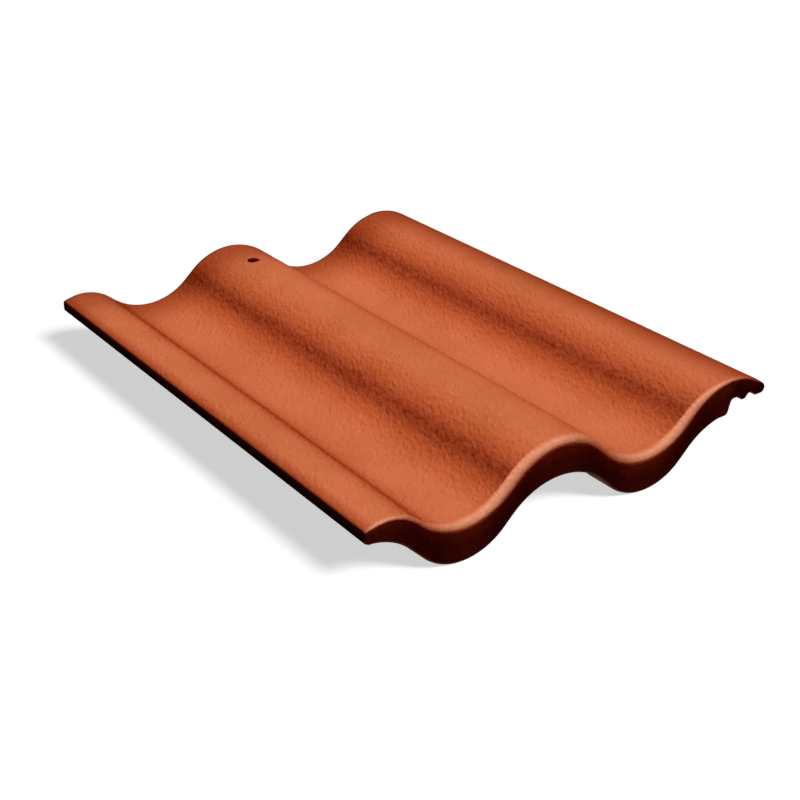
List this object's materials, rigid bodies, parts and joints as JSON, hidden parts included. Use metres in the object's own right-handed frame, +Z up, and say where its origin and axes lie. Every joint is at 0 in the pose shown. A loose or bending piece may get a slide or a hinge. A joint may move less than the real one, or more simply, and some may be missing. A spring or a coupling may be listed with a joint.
{
  "type": "concrete roof tile",
  "caption": "Interlocking double-wave concrete roof tile with a low underlock roll, ribbed overlock, thick rounded tail lip, batten nibs and a nail hole.",
  "frame": {"origin": "under the middle of the tile, level with the bottom of the tail lip and of the nibs, on which it lies", "axes": "+X across the tile from the underlock edge to the overlock edge, +Y up the roof from the tail to the head, +Z up through the weather face"},
  "size_m": [0.33, 0.42, 0.0606],
  "materials": {
    "cast_concrete": "through-coloured terracotta concrete, satin acrylic seal over a fine pebbled skin"
  },
  "bodies": {
    "root": {"roof_tile": "cast_concrete"}
  },
  "joints": []
}
